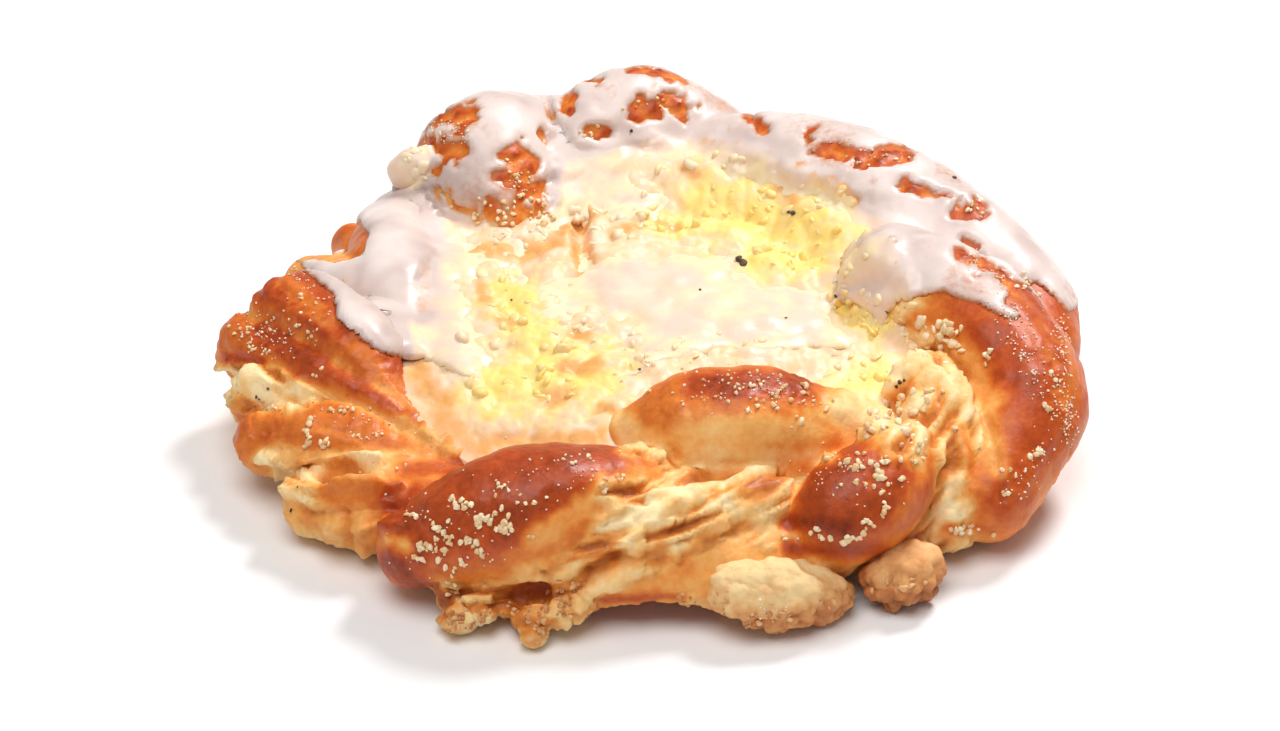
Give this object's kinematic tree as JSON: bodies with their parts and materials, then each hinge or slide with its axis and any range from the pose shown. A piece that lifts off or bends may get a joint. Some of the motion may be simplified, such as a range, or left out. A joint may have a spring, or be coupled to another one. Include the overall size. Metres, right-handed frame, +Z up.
{
  "type": "custard-filled twisted sweet bun",
  "caption": "Round sweet bun of twisted, browned yeast dough round a pale crumbly custard centre, with streusel crumbs on the crust and white sugar icing over its back.",
  "frame": {"origin": "centre of the bun's outline at its flat underside", "axes": "+Z up from the underside, +X to the right seen from the front, which faces -Y"},
  "size_m": [0.1231, 0.1149, 0.0305],
  "materials": {
    "crust": "egg-washed baked crust, glossy reddish brown on the crests, golden and cream in the seams",
    "custard": "crumbly set custard, pale cream with yellow patches",
    "icing": "glossy translucent sugar icing",
    "streusel": "dry golden baked crumb"
  },
  "bodies": {
    "root": {"dough": "crust", "filling": "custard", "icing": "icing", "streusel_lump_large": "streusel", "streusel_lump_small": "streusel"}
  },
  "joints": []
}
